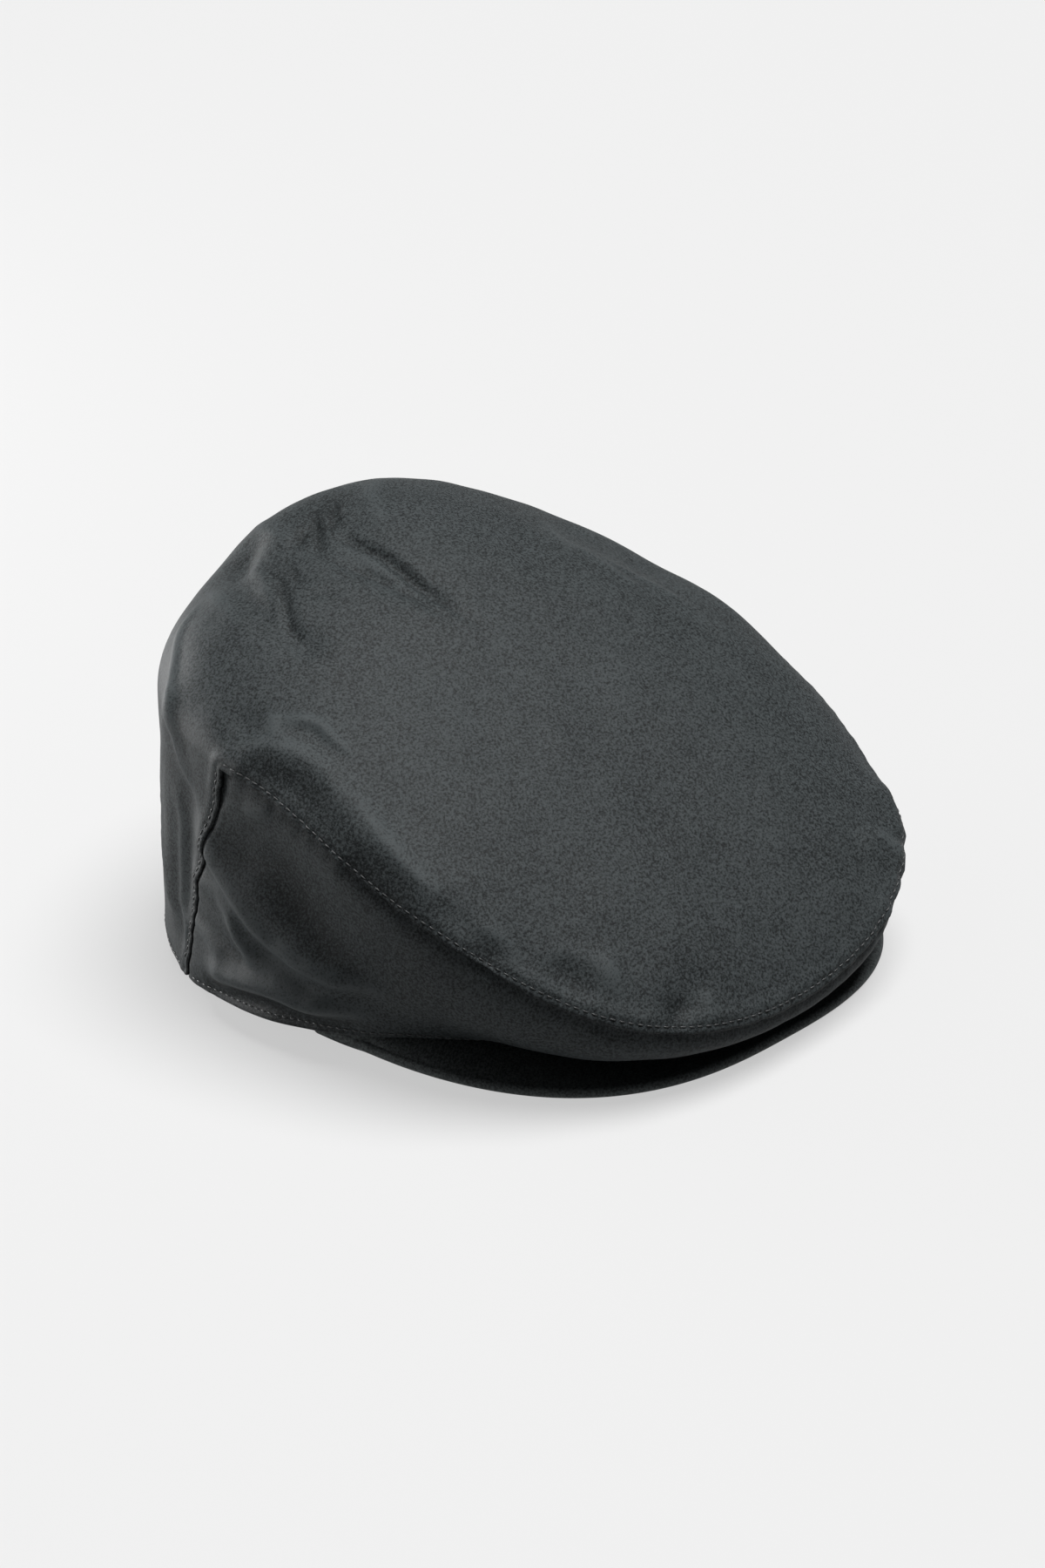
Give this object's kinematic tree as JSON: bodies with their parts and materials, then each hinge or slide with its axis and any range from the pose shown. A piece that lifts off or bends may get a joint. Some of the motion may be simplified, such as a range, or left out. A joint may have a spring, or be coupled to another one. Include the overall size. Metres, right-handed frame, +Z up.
{
  "type": "waxed cotton flat cap",
  "caption": "Soft flat cap of dark waxed cotton: a sloping hollow crown pulled forward over a short stiff peak, lying unworn on its rim.",
  "frame": {"origin": "on the surface that the cap lies on, below the middle of its outline", "axes": "-Y towards the peak, +Y towards the back of the cap, +Z up, -X towards the wearer's right side"},
  "size_m": [0.1984, 0.2252, 0.1232],
  "materials": {
    "waxed_cotton": "satin waxed cloth, faintly grained and creased",
    "peak_cloth": "satin waxed cloth over a stiff peak"
  },
  "bodies": {
    "root": {"top_panel": "waxed_cotton", "side_band": "waxed_cotton", "peak": "peak_cloth"}
  },
  "joints": []
}
